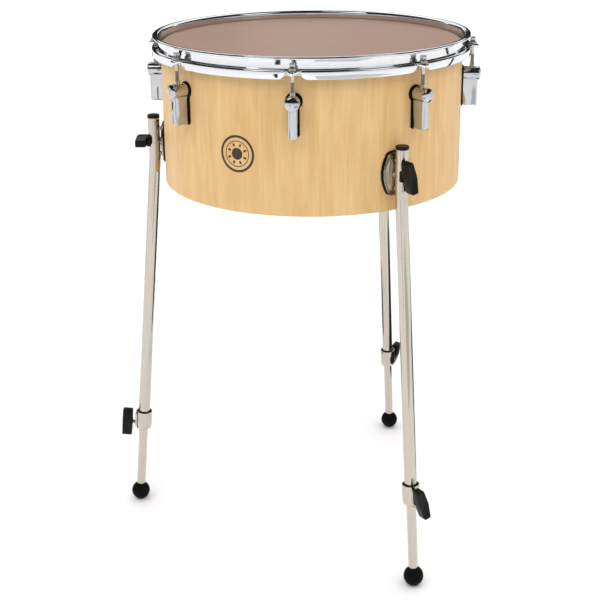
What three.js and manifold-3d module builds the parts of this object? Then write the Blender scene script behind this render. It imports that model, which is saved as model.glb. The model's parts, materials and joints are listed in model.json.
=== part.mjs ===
// A 16-inch classroom timpani: an open wooden shell with one calf-coloured head, a chromed
// triple-flange hoop on eight tension rods, and three plug-in telescopic legs.
// Millimetres, +Z up. Z = 0 is the floor; the drum stands on its three ball feet.
// Every repeated piece is built as if it stood at the front of the drum (facing -Y) and is
// then turned to its own azimuth about the drum's axis (0 = front, 90 = towards +X).

import * as THREE from "three";
import { mergeVertices } from "three/addons/utils/BufferGeometryUtils.js";
import Module from "manifold-3d";

const wasm = await Module();
wasm.setup();

// ---------------------------------------------------------------- driving dimensions

const DEG = Math.PI / 180;
const RING_SIDES = 60;

const SHELL = {
  radius: 202, wall: 7, bottom: 509, edge: 696, edgeRadius: 198.6,
  easeDrop: 5.5, easeWidth: 1.4, easeHeight: 1.3,
};
const HEAD = {
  top: 697, thickness: 0.6, flatRadius: 198.7, foldWidth: 0.4, rimRadius: 203.2, rimBottom: 693,
  rimHeight: 1,
};
const FLESH_HOOP = { inner: 204.2, outer: 210.4, bottom: 685, top: 690.4 };
const HOOP = {
  top: 708, bottom: 681.2, inner: 203.8, sheet: 2,
  flangeRadius: 212, flangeDrop: 3.8, stepTop: 693, skirtRadius: 213.4,
};
const EAR = {
  reach: 8, rootHalfWidth: 13.5, depth: 7, hollowRoot: 6, weld: 0.1, gapHalfWidth: 14.5, cornerRadius: 9,
  gapBack: 6, gapDepth: 14,
};

const ROD = {
  count: 8, firstAzimuth: -6.5, circleRadius: 215, radius: 2.5, bottom: 626,
  seatGap: 0.4, collarRadius: 5, collarHeight: 1.6, bossRadius: 3.9, bossTopRadius: 3.3, bossHeight: 3,
  keyWidth: 6.2, keyRoot: 1, top: 702,
};
const EAR_HOLE_RADIUS = 3.4;

const LUG = {
  back: 203.9, front: 227.2, axisHeight: 653.8, barrelRadius: 9, domeHeight: 2.4, domeRadius: 5.6,
  postWidth: 11, postFront: 223, postChamfer: 2, postBottom: 611, seatHeight: 661.6, seatHalfLength: 6,
  rodRoomFloor: 3, rodRoomGap: 1,
};
const NUT = { bodyRadius: 4.7, bodyBottom: 647, bodyTop: 658.2, sleeveRadius: 3.2, top: 667.4, bore: 2.95 };
const FIT_GAP = 0.35;
const OVERCUT = 1;

const LEG = {
  azimuths: [-90, 30, 150], radius: 217.4, tubeRadius: 8, bore: 6.9, top: 590.5,
  bendHeight: 537, footRadius: 263.1, footHeight: 12.8,
};
const CAP = { radius: 8.4, height: 4.2, edge: 1, plugRadius: 6.5, plugLength: 10 };
const BRACKET = {
  height: 558, back: 202.4, gasket: 1.5, halfWidth: 20, halfHeight: 28.6, cornerX: 12.2, cornerZ: 26.4,
  border: 1.8, plate: 1.4, dome: 2, bossRadius: 4.6, pinRadius: 2.7, pinSpacing: 17.6, pinReach: 5,
};
const SADDLE = { width: 14, height: 13.4, wrap: 3, lip: 1.8 };
const WING = { halfLength: 20.5, endHalfWidth: 4.6, midHalfWidth: 6.9, depth: 14.2, screwRadius: 2.9 };
const WING_GAP = 0.4;
const BRACKET_WING_TURN = [90, -13, 35];
const COLLAR_WING_TURN = [0, -14, -16];

const COLLAR = {
  along: 406.4, height: 28, radius: 11.5, edge: 2, mouthRadius: 9.9, mouthDepth: 6, floor: 3.5,
  padWidth: 11, padHeight: 22, padRoot: 1.4, padReach: 12.5, screwDrop: 5.5, wingStandOff: 4.5,
  tubeGap: 0.6,
};
const CLAMP_LEVEL = -COLLAR.along - COLLAR.screwDrop;
const EXTENSION = { radius: 6.35, bore: 5.2, inside: 226 };
const TUBE_SLIT = { width: 1.2, length: 34, depth: 6, overrun: 1 };
const FOOT = { radius: 13.5, socketDepth: 17, socketGap: 0.5, flatTool: 40 };

// ---------------------------------------------------------------- materials

function finish(color, metalness, roughness) {
  return new THREE.MeshStandardMaterial({ color, metalness, roughness });
}

const maple = finish(0xe9c58c, 0, 0.45);
const skin = finish(0xb89c88, 0, 0.5);
const chrome = finish(0xdfe2e6, 1, 0.08);
const nickel = finish(0xcfc7bd, 1, 0.22);
const steel = finish(0xb9bcc0, 1, 0.3);
const blackPlastic = finish(0x1c1b1b, 0, 0.4);
const rubber = finish(0x151414, 0, 0.75);

// ---------------------------------------------------------------- solids and booleans

function solid(geometry) {
  geometry.deleteAttribute("normal");
  geometry.deleteAttribute("uv");
  const merged = mergeVertices(geometry, 1e-4);
  return new wasm.Manifold(new wasm.Mesh({
    numProp: 3,
    vertProperties: new Float32Array(merged.attributes.position.array),
    triVerts: new Uint32Array(merged.index.array),
  }));
}

function join(...geometries) {
  return geometries.map(solid).reduce((whole, next) => whole.add(next));
}

function cut(whole, ...geometries) {
  return geometries.map(solid).reduce((rest, next) => rest.subtract(next), whole);
}

function geometryOf(manifold) {
  const mesh = manifold.getMesh();
  const geometry = new THREE.BufferGeometry();
  geometry.setAttribute("position", new THREE.BufferAttribute(mesh.vertProperties, 3));
  geometry.setIndex(new THREE.BufferAttribute(mesh.triVerts, 1));
  return geometry;
}

// A profile of [radius, height] points, anticlockwise, turned about the Z axis.
function turned(profile, sides = RING_SIDES) {
  const points = profile.map(([radius, height]) => new THREE.Vector2(radius, height));
  return new THREE.LatheGeometry(points, sides).rotateX(Math.PI / 2);
}

function ring(profile, sides = RING_SIDES) {
  return turned([...profile, profile[0]], sides);
}

// An upright cylinder between two heights on the Z axis.
function post(radius, bottom, top, sides = 10) {
  return turned([[0, bottom], [radius, bottom], [radius, top], [0, top]], sides);
}

// A cylinder that points outwards (towards -Y), from one drum radius to a larger one.
function spigot(radius, from, to, height, sides = 8) {
  return post(radius, from, to, sides).rotateX(Math.PI / 2).translate(0, 0, height);
}

function block(width, depth, height) {
  return new THREE.BoxGeometry(width, depth, height);
}

// An outline drawn as seen from the front, given a thickness towards -Y.
function plate(shape, thickness, extra = {}) {
  const settings = { depth: thickness, bevelEnabled: false, curveSegments: 6, ...extra };
  return new THREE.ExtrudeGeometry(shape, settings).rotateX(Math.PI / 2);
}

const drum = new THREE.Group();

function station(azimuth) {
  const group = new THREE.Group();
  group.rotation.z = azimuth * DEG;
  drum.add(group);
  return group;
}

function add(parent, name, material, shape) {
  const geometry = shape.isBufferGeometry ? shape : geometryOf(shape);
  const mesh = new THREE.Mesh(geometry, material);
  mesh.name = name;
  parent.add(mesh);
  return mesh;
}

// ---------------------------------------------------------------- shell, head and hoops

// The bearing edge is cut at 45 degrees inside and eased over on the outside.
function shell() {
  const inner = SHELL.radius - SHELL.wall;
  return ring([
    [inner, SHELL.bottom],
    [SHELL.radius, SHELL.bottom],
    [SHELL.radius, SHELL.edge - SHELL.easeDrop],
    [SHELL.edgeRadius + SHELL.easeWidth, SHELL.edge - SHELL.easeHeight],
    [SHELL.edgeRadius, SHELL.edge],
    [inner, SHELL.edge - (SHELL.edgeRadius - inner)],
  ]);
}

// The film lies flat on the bearing edge and turns down over the outside of the shell.
function head() {
  const film = HEAD.thickness;
  return turned([
    [0, HEAD.top - film],
    [HEAD.flatRadius, HEAD.top - film],
    [HEAD.rimRadius - film, HEAD.rimBottom],
    [HEAD.rimRadius, HEAD.rimBottom],
    [HEAD.rimRadius, HEAD.rimBottom + HEAD.rimHeight],
    [HEAD.flatRadius + HEAD.foldWidth, HEAD.top],
    [0, HEAD.top],
  ]);
}

function fleshHoop() {
  return ring([
    [FLESH_HOOP.inner, FLESH_HOOP.bottom],
    [FLESH_HOOP.outer, FLESH_HOOP.bottom],
    [FLESH_HOOP.outer, FLESH_HOOP.top],
    [FLESH_HOOP.inner, FLESH_HOOP.top],
  ]);
}

// Sheet profile: rolled top flange, upright band, flat step, hanging skirt.
function hoopProfile() {
  const t = HOOP.sheet;
  return [
    [HOOP.inner, HOOP.stepTop - t],
    [HOOP.skirtRadius - t, HOOP.stepTop - t],
    [HOOP.skirtRadius - t, HOOP.bottom],
    [HOOP.skirtRadius, HOOP.bottom],
    [HOOP.skirtRadius, HOOP.stepTop],
    [HOOP.inner + t, HOOP.stepTop],
    [HOOP.inner + t, HOOP.top - t],
    [HOOP.flangeRadius - t, HOOP.top - t],
    [HOOP.flangeRadius - t, HOOP.top - HOOP.flangeDrop],
    [HOOP.flangeRadius, HOOP.top - HOOP.flangeDrop],
    [HOOP.flangeRadius, HOOP.top],
    [HOOP.inner, HOOP.top],
  ];
}

// Plan of one ear, from the skirt out round the rod hole; inset gives the hollow below it, which
// reaches further back so that it opens inside the skirt.
function earShape(inset) {
  const reachBack = inset > 0 ? EAR.hollowRoot : 0;
  const root = HOOP.skirtRadius - HOOP.sheet - EAR.weld - reachBack;
  const tip = EAR.reach - inset;
  const shape = new THREE.Shape();
  shape.moveTo(-EAR.rootHalfWidth + inset, -root);
  shape.lineTo(-tip, -ROD.circleRadius);
  shape.absarc(0, -ROD.circleRadius, tip, Math.PI, 2 * Math.PI, false);
  shape.lineTo(EAR.rootHalfWidth - inset, -root);
  return shape;
}

function earPart(inset, bottom, top) {
  const settings = { depth: top - bottom, bevelEnabled: false, curveSegments: 5 };
  return new THREE.ExtrudeGeometry(earShape(inset), settings).translate(0, 0, bottom);
}

// The skirt stops at each rod, with round lower corners, as seen from the front.
function skirtGap() {
  const half = EAR.gapHalfWidth;
  const corner = EAR.cornerRadius;
  const top = HOOP.stepTop - HOOP.sheet;
  const low = HOOP.bottom - OVERCUT;
  const shape = new THREE.Shape();
  shape.moveTo(-half - corner, low);
  shape.lineTo(-half - corner, HOOP.bottom);
  shape.absarc(-half - corner, HOOP.bottom + corner, corner, -Math.PI / 2, 0, false);
  shape.lineTo(-half, top);
  shape.lineTo(half, top);
  shape.absarc(half + corner, HOOP.bottom + corner, corner, Math.PI, 1.5 * Math.PI, false);
  shape.lineTo(half + corner, low);
  return plate(shape, EAR.gapDepth, { curveSegments: 3 })
    .translate(0, EAR.gapBack - HOOP.skirtRadius, 0);
}

function counterHoop() {
  let hoop = solid(ring(hoopProfile()));
  const ear = cut(
    solid(earPart(0, HOOP.stepTop - EAR.depth, HOOP.stepTop)),
    earPart(HOOP.sheet, HOOP.stepTop - EAR.depth - OVERCUT, HOOP.stepTop - HOOP.sheet),
  );
  const hole = post(EAR_HOLE_RADIUS, HOOP.bottom, HOOP.top).translate(0, -ROD.circleRadius, 0);
  for (let k = 0; k < ROD.count; k += 1) {
    const turn = rodAzimuth(k);
    hoop = hoop.subtract(solid(skirtGap()).rotate([0, 0, turn]));
    hoop = hoop.add(ear.rotate([0, 0, turn]));
    hoop = hoop.subtract(solid(hole.clone()).rotate([0, 0, turn]));
  }
  return hoop;
}

function rodAzimuth(k) {
  return ROD.firstAzimuth + (360 / ROD.count) * k;
}

// ---------------------------------------------------------------- tuning hardware

// Key rod: threaded shank, round collar, boss and a square head for the drum key.
function tensionRod() {
  const seat = HOOP.stepTop + ROD.seatGap;
  const boss = seat + ROD.collarHeight + ROD.bossHeight;
  const body = turned([
    [0, ROD.bottom],
    [ROD.radius, ROD.bottom],
    [ROD.radius, seat],
    [ROD.collarRadius, seat],
    [ROD.collarRadius, seat + ROD.collarHeight],
    [ROD.bossRadius, seat + ROD.collarHeight],
    [ROD.bossTopRadius, boss],
    [0, boss],
  ], 10);
  const keyHeight = ROD.top - boss + ROD.keyRoot;
  const key = block(ROD.keyWidth, ROD.keyWidth, keyHeight).translate(0, 0, ROD.top - keyHeight / 2);
  return join(body, key);
}

// The nut's body sits in the barrel; its sleeve rises through the seat round the rod.
function swivelNut() {
  return ring([
    [NUT.bore, NUT.bodyBottom],
    [NUT.bodyRadius, NUT.bodyBottom],
    [NUT.bodyRadius, NUT.bodyTop],
    [NUT.sleeveRadius, NUT.bodyTop],
    [NUT.sleeveRadius, NUT.top],
    [NUT.bore, NUT.top],
  ], 10);
}

// A round barrel that points outwards, on a chamfered post that runs down the shell.
function lugCasing() {
  const onCircle = (geometry) => geometry.translate(0, -ROD.circleRadius, 0);
  const barrel = turned([
    [0, LUG.back],
    [LUG.barrelRadius, LUG.back],
    [LUG.barrelRadius, LUG.front - LUG.domeHeight],
    [LUG.domeRadius, LUG.front - LUG.domeHeight / 3],
    [0, LUG.front],
  ], 16).rotateX(Math.PI / 2).translate(0, 0, LUG.axisHeight);
  const half = LUG.postWidth / 2;
  const plan = new THREE.Shape([
    new THREE.Vector2(-half, -LUG.back),
    new THREE.Vector2(-half, LUG.postChamfer - LUG.postFront),
    new THREE.Vector2(LUG.postChamfer - half, -LUG.postFront),
    new THREE.Vector2(half - LUG.postChamfer, -LUG.postFront),
    new THREE.Vector2(half, LUG.postChamfer - LUG.postFront),
    new THREE.Vector2(half, -LUG.back),
  ]);
  const legSettings = { depth: LUG.axisHeight - LUG.postBottom, bevelEnabled: false };
  const leg = new THREE.ExtrudeGeometry(plan, legSettings).translate(0, 0, LUG.postBottom);
  const seatDepth = LUG.axisHeight + LUG.barrelRadius - LUG.seatHeight + OVERCUT;
  const seatCut = onCircle(block(2 * LUG.barrelRadius, 2 * LUG.seatHalfLength, seatDepth)
    .translate(0, 0, LUG.seatHeight + seatDepth / 2));
  const sleeveHole = post(NUT.sleeveRadius + FIT_GAP, NUT.bodyTop - OVERCUT, LUG.seatHeight + seatDepth);
  const nutRoom = post(NUT.bodyRadius + FIT_GAP, NUT.bodyBottom - FIT_GAP, NUT.bodyTop + FIT_GAP);
  const rodRoom = post(
    ROD.radius + LUG.rodRoomGap, LUG.postBottom + LUG.rodRoomFloor, NUT.bodyBottom + OVERCUT,
  );
  return cut(join(barrel, leg), seatCut, onCircle(sleeveHole), onCircle(nutRoom), onCircle(rodRoom));
}

// ---------------------------------------------------------------- legs

const legRun = new THREE.Vector2(LEG.footRadius - LEG.radius, LEG.bendHeight - LEG.footHeight);
const LEG_LENGTH = legRun.length();
const SPLAY = Math.atan2(legRun.x, legRun.y);

// Below the bend every leg piece lies on a straight line: its local -Z runs down the leg.
function legLine(parent) {
  const line = new THREE.Group();
  line.position.set(0, -LEG.radius, LEG.bendHeight);
  line.rotation.x = -SPLAY;
  parent.add(line);
  return line;
}

function onLegLine(geometry) {
  return geometry.rotateX(-SPLAY).translate(0, -LEG.radius, LEG.bendHeight);
}

function bentBar(radius, top, length, sides = 12) {
  return join(
    post(radius, LEG.bendHeight, top, sides).translate(0, -LEG.radius, 0),
    onLegLine(post(radius, -length, 0, sides)),
    new THREE.SphereGeometry(radius, sides, 6).rotateX(Math.PI / 2)
      .translate(0, -LEG.radius, LEG.bendHeight),
  );
}

// Upright where it plugs on to the bracket, splayed below the bend, slit at its lower end.
function legTube() {
  const end = COLLAR.along + COLLAR.height / 2 - COLLAR.floor - COLLAR.tubeGap;
  const outside = LEG.tubeRadius + OVERCUT;
  const tube = bentBar(LEG.tubeRadius, LEG.top, end);
  const bore = bentBar(LEG.bore, LEG.top + OVERCUT, end + OVERCUT);
  const screwHole = spigot(
    WING.screwRadius + FIT_GAP, LEG.radius - outside, LEG.radius + outside, BRACKET.height,
  );
  const pinHoles = [-1, 1].map((side) => spigot(
    BRACKET.pinRadius + FIT_GAP, LEG.radius - outside, LEG.radius - LEG.bore / 2,
    BRACKET.height + side * BRACKET.pinSpacing,
  ));
  const slit = onLegLine(
    block(TUBE_SLIT.width, TUBE_SLIT.depth, TUBE_SLIT.length)
      .translate(0, -LEG.tubeRadius, TUBE_SLIT.length / 2 - end - TUBE_SLIT.overrun),
  );
  const clampHole = onLegLine(spigot(WING.screwRadius + FIT_GAP, LEG.bore / 2, outside, CLAMP_LEVEL));
  return cut(tube.subtract(bore), screwHole, ...pinHoles, slit, clampHole);
}

function legCap() {
  const joint = LEG.top + FIT_GAP;
  return turned([
    [0, joint - CAP.plugLength],
    [CAP.plugRadius, joint - CAP.plugLength],
    [CAP.plugRadius, joint],
    [CAP.radius, joint],
    [CAP.radius, joint + CAP.height - CAP.edge],
    [CAP.radius - CAP.edge, joint + CAP.height],
    [0, joint + CAP.height],
  ], 12).translate(0, -LEG.radius, 0);
}

// A cup round the lower end of the tube, open at the top, with a pad for the clamp screw.
function legCollar() {
  const half = COLLAR.height / 2;
  const tubeRoom = LEG.tubeRadius + FIT_GAP;
  const cup = solid(ring([
    [EXTENSION.radius + FIT_GAP, -half],
    [COLLAR.radius - COLLAR.edge, -half],
    [COLLAR.radius, COLLAR.edge - half],
    [COLLAR.radius, half],
    [COLLAR.mouthRadius, half],
    [COLLAR.mouthRadius, half - COLLAR.mouthDepth],
    [tubeRoom, half - COLLAR.mouthDepth - COLLAR.edge],
    [tubeRoom, COLLAR.floor - half],
    [EXTENSION.radius + FIT_GAP, COLLAR.floor - half],
  ], 16));
  const padDepth = COLLAR.padReach - LEG.tubeRadius - COLLAR.padRoot;
  const pad = solid(block(COLLAR.padWidth, padDepth, COLLAR.padHeight)
    .translate(0, -COLLAR.padReach + padDepth / 2, 0));
  const screwHole = spigot(
    WING.screwRadius + FIT_GAP, LEG.tubeRadius / 2, COLLAR.padReach + OVERCUT, -COLLAR.screwDrop,
  );
  const collar = cut(cup.add(pad), screwHole);
  return geometryOf(collar).translate(0, 0, -COLLAR.along);
}

function legExtension() {
  const bottom = FOOT.radius - FOOT.socketDepth + FOOT.socketGap - LEG_LENGTH;
  const top = EXTENSION.inside - COLLAR.along;
  return ring([
    [EXTENSION.bore, bottom],
    [EXTENSION.radius, bottom],
    [EXTENSION.radius, top],
    [EXTENSION.bore, top],
  ], 12);
}

// A ball with a socket for the tube and a small flat where it meets the floor.
function rubberFoot() {
  const ball = solid(new THREE.SphereGeometry(FOOT.radius, 18, 10).rotateX(Math.PI / 2));
  const socket = post(EXTENSION.radius + FIT_GAP, FOOT.radius - FOOT.socketDepth, FOOT.radius + OVERCUT, 12);
  const flat = block(FOOT.flatTool, FOOT.flatTool, FOOT.flatTool)
    .translate(0, 0, -LEG.footHeight - FOOT.flatTool / 2).rotateX(SPLAY);
  return geometryOf(cut(ball, socket, flat)).translate(0, 0, -LEG_LENGTH);
}

// ---------------------------------------------------------------- leg brackets

// An upright barrel-shaped outline, inset all round: bulging sides and slightly crowned ends.
function barrelOutline(inset) {
  const { halfWidth, halfHeight, cornerX, cornerZ } = BRACKET;
  const x = cornerX - inset;
  const z = cornerZ - inset;
  const points = [];
  const bow = (turn, halfChord, rise, reach) => {
    const radius = (halfChord ** 2 + rise ** 2) / (2 * rise);
    const spread = Math.asin(halfChord / radius);
    const steps = 7;
    for (let s = 0; s < steps; s += 1) {
      const angle = turn - spread + (2 * spread * s) / steps;
      points.push(new THREE.Vector2(
        (reach - inset - radius) * Math.cos(turn) + radius * Math.cos(angle),
        (reach - inset - radius) * Math.sin(turn) + radius * Math.sin(angle),
      ));
    }
  };
  bow(0, z, halfWidth - cornerX, halfWidth);
  bow(Math.PI / 2, x, halfHeight - cornerZ, halfHeight);
  bow(Math.PI, z, halfWidth - cornerX, halfWidth);
  bow(1.5 * Math.PI, x, halfHeight - cornerZ, halfHeight);
  return new THREE.Shape(points);
}

function bracketGasket() {
  return plate(barrelOutline(0), BRACKET.gasket).translate(0, -BRACKET.back, BRACKET.height);
}

// A domed plate with a tapped boss in the middle and a locating pin above and below it.
function legBracket() {
  const back = BRACKET.back + BRACKET.gasket + FIT_GAP;
  const tubeFace = LEG.radius - LEG.tubeRadius;
  const bevel = {
    bevelEnabled: true, bevelThickness: BRACKET.dome / 2, bevelSize: BRACKET.dome, bevelSegments: 1,
  };
  const domed = plate(barrelOutline(BRACKET.border + BRACKET.dome), BRACKET.plate, bevel)
    .translate(0, -back - BRACKET.dome / 2, BRACKET.height);
  const face = back + BRACKET.dome / 2;
  const boss = spigot(BRACKET.bossRadius, face, tubeFace - FIT_GAP, BRACKET.height);
  const pins = [-1, 1].map((side) => spigot(
    BRACKET.pinRadius, face, tubeFace + BRACKET.pinReach / 2,
    BRACKET.height + side * BRACKET.pinSpacing,
  ));
  const thread = spigot(WING.screwRadius + FIT_GAP, back - OVERCUT, tubeFace + OVERCUT, BRACKET.height);
  return cut(join(domed, boss, ...pins), thread);
}

// A curved washer that seats the wing screw on the round tube.
function saddleWasher() {
  const face = LEG.tubeRadius + SADDLE.lip;
  const depth = SADDLE.wrap + SADDLE.lip;
  const washer = cut(
    solid(block(SADDLE.width, depth, SADDLE.height).translate(0, depth / 2 - face, 0)),
    post(LEG.tubeRadius + FIT_GAP, -SADDLE.height, SADDLE.height, 12),
    spigot(WING.screwRadius + FIT_GAP, 0, face + OVERCUT, 0),
  );
  return geometryOf(washer).translate(0, -LEG.radius, BRACKET.height);
}

// A six-sided wing moulded on to a steel screw; the screw points inwards (towards +Y).
// The group's origin is on the screw axis at the wing's inner face.
function wing(screwLength) {
  const { halfLength, endHalfWidth, midHalfWidth, depth } = WING;
  const outline = new THREE.Shape([
    new THREE.Vector2(-endHalfWidth, -halfLength),
    new THREE.Vector2(endHalfWidth, -halfLength),
    new THREE.Vector2(midHalfWidth, 0),
    new THREE.Vector2(endHalfWidth, halfLength),
    new THREE.Vector2(-endHalfWidth, halfLength),
    new THREE.Vector2(-midHalfWidth, 0),
  ]);
  return join(plate(outline, depth), spigot(WING.screwRadius, -screwLength, OVERCUT, 0));
}

function addWing(parent, name, innerFace, height, screwLength, turn) {
  const mesh = add(parent, name, blackPlastic, wing(screwLength));
  mesh.position.set(0, -innerFace, height);
  mesh.rotation.y = turn * DEG;
}

// ---------------------------------------------------------------- assembly

add(drum, "shell", maple, shell());
add(drum, "head_membrane", skin, head());
add(drum, "flesh_hoop", steel, fleshHoop());
add(drum, "counter_hoop", chrome, counterHoop());

for (let k = 0; k < ROD.count; k += 1) {
  const place = station(rodAzimuth(k));
  const onRod = new THREE.Group();
  onRod.position.y = -ROD.circleRadius;
  place.add(onRod);
  add(place, `lug_casing_${k + 1}`, chrome, lugCasing());
  add(onRod, `tension_rod_${k + 1}`, steel, tensionRod());
  add(onRod, `swivel_nut_${k + 1}`, steel, swivelNut());
}

LEG.azimuths.forEach((azimuth, k) => {
  const place = station(azimuth);
  const line = legLine(place);
  const tip = EXTENSION.radius + FIT_GAP;
  const collarWingFace = COLLAR.padReach + COLLAR.wingStandOff;
  const bracketWingFace = LEG.radius + LEG.tubeRadius + SADDLE.lip + WING_GAP;
  const bracketScrewEnd = BRACKET.back + BRACKET.gasket + BRACKET.dome / 2;
  add(place, `bracket_gasket_${k + 1}`, rubber, bracketGasket());
  add(place, `leg_bracket_${k + 1}`, nickel, legBracket());
  add(place, `leg_tube_${k + 1}`, nickel, legTube());
  add(place, `leg_cap_${k + 1}`, blackPlastic, legCap());
  add(place, `saddle_washer_${k + 1}`, blackPlastic, saddleWasher());
  addWing(
    place, `bracket_wing_${k + 1}`, bracketWingFace, BRACKET.height,
    bracketWingFace - bracketScrewEnd, BRACKET_WING_TURN[k],
  );
  add(line, `leg_collar_${k + 1}`, nickel, legCollar());
  add(line, `leg_extension_${k + 1}`, nickel, legExtension());
  add(line, `rubber_foot_${k + 1}`, rubber, rubberFoot());
  addWing(
    line, `collar_wing_${k + 1}`, collarWingFace, CLAMP_LEVEL,
    collarWingFace - tip, COLLAR_WING_TURN[k],
  );
});

// The origin is the middle of the drum's outer box at floor level.
drum.updateMatrixWorld(true);
const middle = new THREE.Box3().setFromObject(drum, true).getCenter(new THREE.Vector3());
drum.position.set(-middle.x, -middle.y, 0);

export default drum;
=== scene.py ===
"""Looks of a 16-inch classroom timpani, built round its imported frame.

Lengths are in millimetres until a mesh is written, when they become metres. Every repeated piece is
built as if it stood at the front of the drum (facing -Y) and is then placed by a matrix that turns it
to its own azimuth about the drum's axis: 0 is the front, a quarter turn is towards +X.
"""

import json
import math

import bmesh
import bpy
from mathutils import Matrix, Vector


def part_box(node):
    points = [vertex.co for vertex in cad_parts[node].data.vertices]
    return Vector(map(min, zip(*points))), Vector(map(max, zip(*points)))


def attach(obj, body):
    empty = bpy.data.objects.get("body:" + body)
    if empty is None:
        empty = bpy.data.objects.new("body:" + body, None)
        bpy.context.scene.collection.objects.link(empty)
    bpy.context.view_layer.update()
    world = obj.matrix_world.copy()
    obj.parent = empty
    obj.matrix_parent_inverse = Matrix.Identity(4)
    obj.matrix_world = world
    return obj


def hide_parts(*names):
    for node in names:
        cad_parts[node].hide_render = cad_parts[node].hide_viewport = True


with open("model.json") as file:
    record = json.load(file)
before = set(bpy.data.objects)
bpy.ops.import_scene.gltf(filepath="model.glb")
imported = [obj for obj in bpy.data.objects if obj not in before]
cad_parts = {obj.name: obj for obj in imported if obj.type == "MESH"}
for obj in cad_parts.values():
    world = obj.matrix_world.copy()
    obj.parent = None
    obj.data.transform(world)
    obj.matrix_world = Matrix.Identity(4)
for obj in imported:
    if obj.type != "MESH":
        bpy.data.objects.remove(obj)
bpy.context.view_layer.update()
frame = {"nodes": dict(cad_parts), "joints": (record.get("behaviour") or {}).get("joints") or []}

MM = 0.001
DEG = math.pi / 180


# -------- places taken from the frame


def box(node):
    low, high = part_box(node)
    return low / MM, high / MM


def middle(node):
    low, high = box(node)
    return (low + high) / 2


def joint(name):
    return next(j for j in frame["joints"] if j["name"] == name)


SHELL_LOW, SHELL_HIGH = box("shell")
AXIS = middle("shell")
HOOP_LOW, HOOP_HIGH = box("counter_hoop")
HEAD_LOW, HEAD_HIGH = box("head_membrane")
RING_LOW, RING_HIGH = box("flesh_hoop")


def from_axis(node):
    """Azimuth about the drum's axis and distance from it of the middle of a node."""
    out = middle(node) - AXIS
    return math.atan2(out.x, -out.y), math.hypot(out.x, out.y)


def station(azimuth):
    return Matrix.Translation((AXIS.x, AXIS.y, 0)) @ Matrix.Rotation(azimuth, 4, "Z")


ROD_COUNT = sum(1 for node in frame["nodes"] if node.startswith("tension_rod_"))
LEG_COUNT = sum(1 for node in frame["nodes"] if node.startswith("leg_tube_"))
ROD_AZIMUTHS = [from_axis(f"tension_rod_{k + 1}")[0] for k in range(ROD_COUNT)]
LEG_AZIMUTHS = [from_axis(f"leg_cap_{k + 1}")[0] for k in range(LEG_COUNT)]
ROD_CIRCLE = from_axis("tension_rod_1")[1]
LEG_RADIUS = from_axis("leg_cap_1")[1]
LEG_AXIS = Vector(joint("leg_1_height")["axis"])
SPLAY = math.atan2(math.hypot(LEG_AXIS.x, LEG_AXIS.y), -LEG_AXIS.z)

# -------- sizes

TOUCH = 0.02  # what is left between pieces that touch
PAD_LIFT = 0.03  # what is left between a pad and the shell

SHELL_RADIUS = (SHELL_HIGH.x - SHELL_LOW.x) / 2
SHELL_WALL = 7
SHELL_EDGE_RADIUS = 198.6
SHELL_EASE = 1.2
SHELL_SHOULDER = 5.5
PLIES = 6
FILM_THICKNESS = 0.5
FILM_DIP = 0.12
RING_BORE = 204.3
RING_GROOVE_HALF = 1.1
RING_GROOVE_DEPTH = 2.2

HOOP_SHEET = 1.8
HOOP_WALL = 203.9 + HOOP_SHEET / 2
HOOP_FLANGE = 212 - HOOP_SHEET / 2
HOOP_LIP = 1.9
HOOP_STEP = 693 - HOOP_SHEET / 2
HOOP_SKIRT = 213.4
LEAST_SKIRT = 1.2
EAR_REACH = 9.4
EAR_HALF_WIDTH = 12
EAR_DROP = 3.6
EAR_HOLE = 3.3
GAP_HALF_WIDTH = 9
GAP_CORNER = 9
GAP_SLANT = 9.5
BELOW_HOOP, ABOVE_HOOP = 670, 700

ROD_LOW, ROD_TOP = (corner.z for corner in box("tension_rod_1"))
ROD_RADIUS = 2.5
ROD_NECK = 12
ROD_COLLAR = 5.0
BOSS_HEIGHT = 4.4
THREAD_PITCH = 0.8
WASHER_RADIUS = 5.6
WASHER_TOP = HOOP_STEP + HOOP_SHEET / 2 + 1.0
KEY_WIDTH = 6.2
KEY_ROOT = 3.6

LUG_BACK = 203.9
LUG_FRONT = 227.05
LUG_AXIS = 653.8
BARREL_RADIUS = 9
BARREL_EASE = 1.6
POST_HALF = 5.5
POST_FRONT = 223
POST_LOW = box("lug_casing_1")[0].z
POST_CHAMFER = 2.0
POST_END_EASE = 1.8
DOME_HEIGHT = 2.4
SEAT_HEIGHT = 661.6
SEAT_HALF = 6
NUT_LOW, NUT_TOP = (corner.z for corner in box("swivel_nut_1"))
NUT_BODY_TOP = 658.2
NUT_BODY = 4.6
SLEEVE = 3.2
NUT_GAP = 0.3
ROD_ROOM = 3.5
LUG_SCREW_RISE = 8
GASKET_BORDER = 1.7
GASKET_SIDE = 1.4
GASKET_DROP = 1.2
GASKET_NECK = 13

TUBE_RADIUS = 8
TUBE_BORE = 6.9
LEG_TOP = 590.5
LEG_BEND = 537
BEND_RADIUS = 40
SLIT_HALF_WIDTH = 0.6
SLIT_LENGTH = 33
BRACKET_HOLE = 3.2
BRACKET_HEIGHT = middle("bracket_gasket_1").z
PIN_SPACING = 17.6
BRACKET_HALF_WIDTH = 20
BRACKET_HALF_HEIGHT = 28.6
BRACKET_CORNER = (0.61, 0.923)
BRACKET_BORDER = 1.7
CAP_RADIUS = 8.4
CAP_PLUG = 9
PLATE_BACK = 203.9
SADDLE_FACE = TUBE_RADIUS + 1.8
SADDLE_GAP = 0.3
SADDLE_HALF_WIDTH = 7.0
SADDLE_HALF_HEIGHT = 6.7
SADDLE_DEPTH = 5.2

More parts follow.
